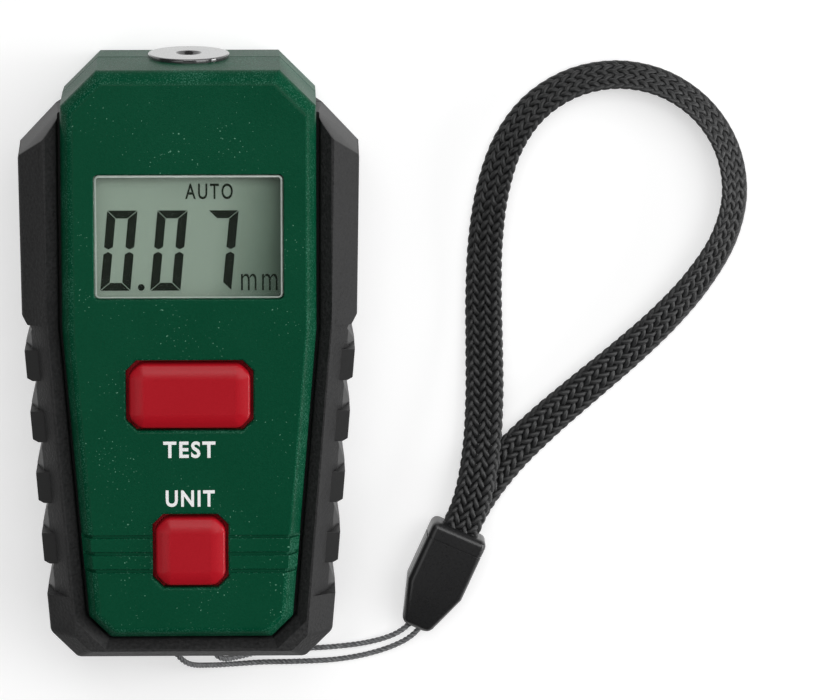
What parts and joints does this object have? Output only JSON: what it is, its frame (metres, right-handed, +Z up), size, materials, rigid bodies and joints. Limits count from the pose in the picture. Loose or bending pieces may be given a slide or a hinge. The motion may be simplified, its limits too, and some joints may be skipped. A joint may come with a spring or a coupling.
{
  "type": "coating thickness gauge",
  "caption": "Pocket coating thickness gauge with a probe at one end, a display, two red keys, soft ribbed grips on both sides and a wrist strap.",
  "frame": {"origin": "on the table, under the middle of the gauge as it lies on its back", "axes": "+X across the face, +Y along the gauge towards the probe, +Z up, out of the face"},
  "size_m": [0.1225, 0.1085, 0.0277],
  "materials": {
    "green_case": "satin moulded plastic",
    "soft_grip": "grained soft moulding",
    "clear_window": "clear polished plastic",
    "seal_rubber": "plain",
    "lcd_glass": "grey-green display",
    "dark_plastic": "plain moulded",
    "zebra_rubber": "plain",
    "board_laminate": "solder mask",
    "black_plastic": "smooth moulded",
    "component_body": "plain",
    "pale_plastic": "plain",
    "red_key": "satin moulded",
    "probe_plastic": "satin turned",
    "core_steel": "ground",
    "copper_wire": "enamelled wire",
    "lead_insulation": "plain",
    "cell_case": "plain wrapped can",
    "contact_metal": "plated spring steel",
    "screw_steel": "zinc plated",
    "strap_cord": "twisted grey cord",
    "strap_braid": "flat black braid"
  },
  "bodies": {
    "case": {"front_shell": "green_case", "rear_shell": "green_case", "front_grip": "soft_grip", "rear_grip": "soft_grip", "display_window": "clear_window", "window_seal": "seal_rubber", "lcd_panel": "lcd_glass", "lcd_frame": "dark_plastic", "zebra_strips": "zebra_rubber", "circuit_board": "board_laminate", "processor_chip": "black_plastic", "board_components": "component_body", "test_switch": "black_plastic", "unit_switch": "black_plastic", "probe_housing": "probe_plastic", "probe_core": "core_steel", "probe_coil": "copper_wire", "probe_leads": "lead_insulation", "battery_left": "cell_case", "battery_right": "cell_case", "battery_contact_plus": "contact_metal", "battery_contact_minus": "contact_metal", "battery_bridge": "contact_metal", "case_screws": "screw_steel", "board_screws": "screw_steel", "strap_cord": "strap_cord", "strap_clip": "black_plastic", "strap_braid": "strap_braid"},
    "test_key": {"test_button": "red_key", "test_switch_plunger": "pale_plastic"},
    "unit_key": {"unit_button": "red_key", "unit_switch_plunger": "pale_plastic"},
    "door": {"battery_door": "green_case"}
  },
  "joints": [
    {"name": "test_press", "type": "slide", "parent": "case", "child": "test_key", "axis": [0, 0, -1], "range_m": [0, 0.0005], "stiffness_N_per_m": 1500},
    {"name": "unit_press", "type": "slide", "parent": "case", "child": "unit_key", "axis": [0, 0, -1], "range_m": [0, 0.0005], "stiffness_N_per_m": 1500},
    {"name": "door_slide", "type": "slide", "parent": "case", "child": "door", "axis": [0, -1, 0], "range_m": [0, 0.004]}
  ]
}
